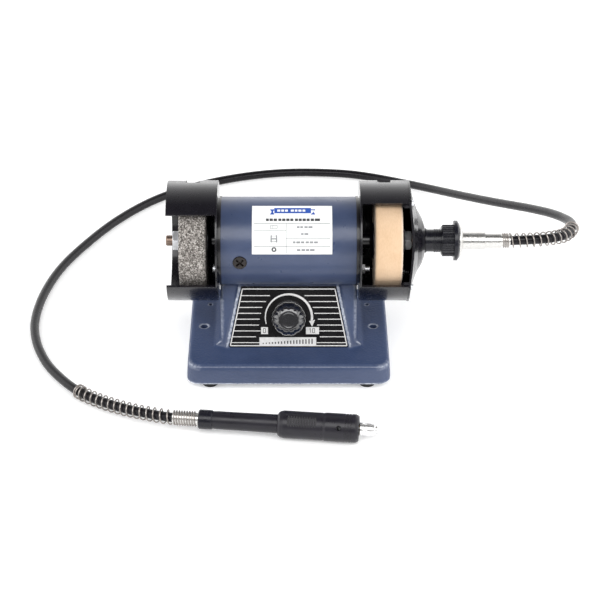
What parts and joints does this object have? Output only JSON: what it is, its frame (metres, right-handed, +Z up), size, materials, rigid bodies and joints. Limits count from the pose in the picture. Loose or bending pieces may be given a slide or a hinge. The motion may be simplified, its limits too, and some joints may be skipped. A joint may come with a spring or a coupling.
{
  "type": "bench grinder with flexible shaft",
  "caption": "Small bench grinder with two guarded wheels, a speed dial and a flexible drive shaft that ends in a handpiece with a collet.",
  "frame": {"origin": "on the bench, on the centre plane, straight below the spindle", "axes": "+X along the spindle towards the flexible shaft's drive end, +Y to the rear, +Z up"},
  "size_m": [0.4252, 0.4201, 0.1405],
  "materials": {
    "hammered_blue": "gloss hammered paint",
    "guard_black": "gloss",
    "bell_black": "satin",
    "panel_black": "satin",
    "zinc_plate": "satin",
    "zinc_steel": "satin",
    "core_steel": "matte",
    "spindle_steel": "satin",
    "tool_steel": "satin",
    "bearing_steel": "polished",
    "chrome_silver": "polished",
    "spring_steel": "polished",
    "brass": "satin",
    "copper_wire": "satin",
    "copper_bar": "satin",
    "carbon": "matte",
    "board_green": "satin",
    "component_black": "matte",
    "black_plastic": "satin",
    "grip_black": "satin",
    "gloss_black": "gloss",
    "sheath_black": "satin",
    "foot_rubber": "matte",
    "label_white": "satin",
    "abrasive_grey": "coarse",
    "felt_tan": "felted"
  },
  "bodies": {
    "grinder": {"base_casting": "hammered_blue", "base_cover": "zinc_plate", "rubber_feet": "foot_rubber", "foot_screws": "zinc_steel", "control_panel": "panel_black", "speed_potentiometer": "zinc_steel", "potentiometer_nut": "brass", "speed_board": "board_green", "board_components": "component_black", "mains_gland": "black_plastic", "motor_housing": "hammered_blue", "end_bell_left": "bell_black", "end_bell_right": "bell_black", "stator_core": "core_steel", "field_coils": "copper_wire", "brush_holders": "brass", "carbon_brushes": "carbon", "brush_springs": "spring_steel", "brush_caps": "black_plastic", "bearing_outer_rings": "bearing_steel", "bearing_balls": "bearing_steel", "tie_bolts": "zinc_steel", "tie_nuts": "zinc_steel", "rating_label": "label_white", "left_guard": "guard_black", "right_guard": "guard_black", "right_guard_cover": "guard_black", "cover_screws": "zinc_steel", "coupling_spout": "black_plastic", "shaft_nut": "black_plastic", "shaft_washer": "chrome_silver", "motor_ferrule": "chrome_silver", "motor_end_spring": "spring_steel", "flex_sheath": "sheath_black", "tool_end_spring": "spring_steel", "tool_ferrule": "chrome_silver", "handpiece_collar": "black_plastic", "handpiece_body": "grip_black", "handpiece_grip": "grip_black", "handpiece_nose": "grip_black", "handpiece_bushes": "brass"},
    "rotor": {"spindle": "spindle_steel", "bearing_inner_rings": "bearing_steel", "armature_core": "core_steel", "armature_windings": "copper_wire", "commutator": "copper_bar", "cooling_fan": "black_plastic", "inner_flanges": "bell_black", "grinding_wheel": "abrasive_grey", "felt_wheel": "felt_tan", "outer_flanges": "zinc_steel", "wheel_nuts": "zinc_steel", "drive_tip": "tool_steel"},
    "knob": {"speed_knob": "gloss_black", "potentiometer_shaft": "zinc_steel"},
    "chuck": {"handpiece_spindle": "tool_steel", "collet": "tool_steel", "collet_nut": "chrome_silver"}
  },
  "joints": [
    {"name": "rotor_spin", "type": "hinge", "parent": "grinder", "child": "rotor", "pos_m": [0, 0, 0.095], "axis": [1, 0, 0], "continuous": true},
    {"name": "speed_knob_turn", "type": "hinge", "parent": "grinder", "child": "knob", "pos_m": [0, -0.02405, 0.0421], "axis": [0, 0.9135, -0.4067], "range_deg": [0, 270]},
    {"name": "chuck_spin", "type": "hinge", "parent": "grinder", "child": "chuck", "pos_m": [-0.0651, -0.11199, 0.0103], "axis": [0.9945, -0.1045, 0], "continuous": true}
  ],
  "couplings": [
    {"joint": "chuck_spin", "follows": "rotor_spin", "ratio": 1}
  ]
}
